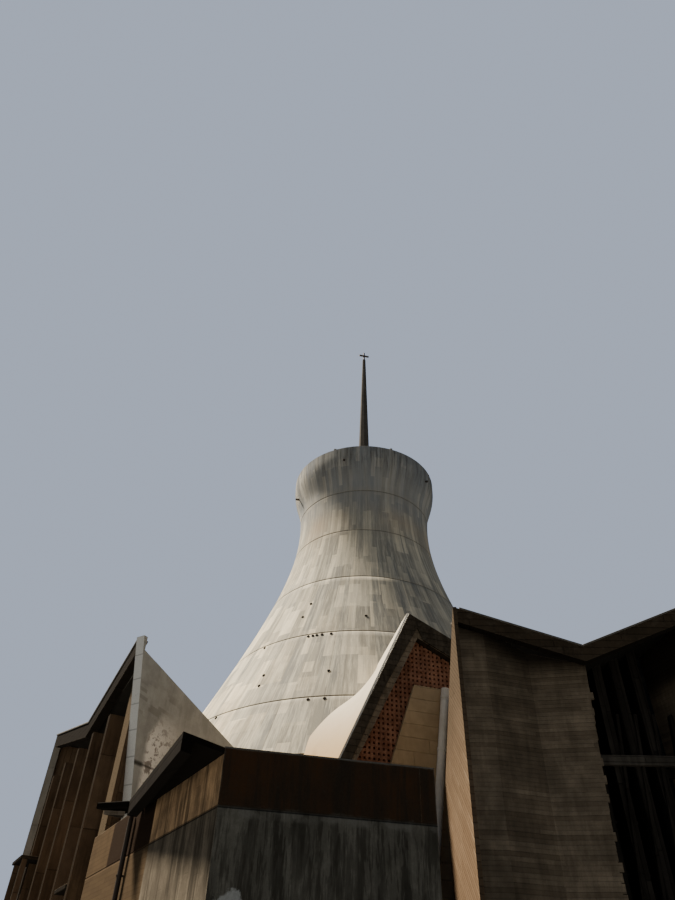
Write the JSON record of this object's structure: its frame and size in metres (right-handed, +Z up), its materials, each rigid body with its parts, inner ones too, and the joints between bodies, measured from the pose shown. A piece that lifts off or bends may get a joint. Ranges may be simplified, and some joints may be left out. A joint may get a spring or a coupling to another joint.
{
  "type": "modern church building, 1:2 scale model",
  "caption": "Hollow concrete church: a hyperboloid lantern tower with spire and cross over folded gable roofs, finned window screens and low annexes.",
  "frame": {"origin": "on the ground under the tower's axis", "axes": "+Z up, +X along the hall towards its wide end, -Y towards the street front that the picture shows"},
  "size_m": [20.185, 29.1, 27.025],
  "materials": {
    "tower_concrete": "pale board-marked concrete with rain stains",
    "pale_concrete": "light grey board-marked concrete",
    "brown_concrete": "brown weathered concrete with board marks",
    "dark_concrete": "dark stained concrete with streaks",
    "roof_concrete": "weathered roof concrete",
    "spire_concrete": "dark concrete",
    "terracotta": "matt fired clay",
    "dark_glass": "dark window glass",
    "steel": "weathered steel",
    "grey_pipe": "grey paint"
  },
  "bodies": {
    "root": {"left_fascia_front": "dark_concrete", "left_fascia_back": "dark_concrete", "left_fin_screen_front": "brown_concrete", "left_fin_screen_back": "brown_concrete", "left_glazing_front": "dark_glass", "left_glazing_back": "dark_glass", "left_gable_wall_front": "pale_concrete", "left_gable_wall_back": "pale_concrete", "left_roof_front": "roof_concrete", "left_roof_back": "roof_concrete", "left_end_wall": "pale_concrete", "wedge_wall_front": "brown_concrete", "wedge_wall_back": "brown_concrete", "folded_wall_front": "brown_concrete", "folded_wall_back": "brown_concrete", "bay_screen_front": "dark_concrete", "bay_screen_back": "dark_concrete", "bay_glazing_front": "dark_glass", "bay_glazing_back": "dark_glass", "bay_fascia_front": "dark_concrete", "bay_fascia_back": "dark_concrete", "corner_wall_front": "brown_concrete", "corner_wall_back": "brown_concrete", "right_fin_screen_front": "brown_concrete", "right_fin_screen_back": "brown_concrete", "right_glazing_front": "dark_glass", "right_glazing_back": "dark_glass", "right_fascia_front": "dark_concrete", "right_fascia_back": "dark_concrete", "right_roof_front": "roof_concrete", "right_roof_back": "roof_concrete", "right_end_wall": "pale_concrete", "gable_frame_front": "dark_concrete", "gable_frame_back": "dark_concrete", "gable_wall_front": "brown_concrete", "gable_wall_back": "brown_concrete", "gable_tile_screen_front": "terracotta", "gable_tile_screen_back": "terracotta", "gable_roof_front": "pale_concrete", "gable_roof_back": "pale_concrete", "rain_pipe": "grey_pipe", "annex_walls_front": "dark_concrete", "annex_walls_back": "dark_concrete", "annex_roof_front": "roof_concrete", "annex_roof_back": "roof_concrete", "annex_canopy_front": "dark_concrete", "annex_canopy_back": "dark_concrete", "floor_slab": "dark_concrete", "ring_beam_and_piers": "pale_concrete", "tower_lift_1": "tower_concrete", "tower_lift_2": "tower_concrete", "tower_lift_3": "tower_concrete", "tower_lift_4": "tower_concrete", "tower_lift_5": "tower_concrete", "tower_lift_6": "tower_concrete", "tower_cap": "roof_concrete", "spire": "spire_concrete", "cross": "steel"}
  },
  "joints": []
}
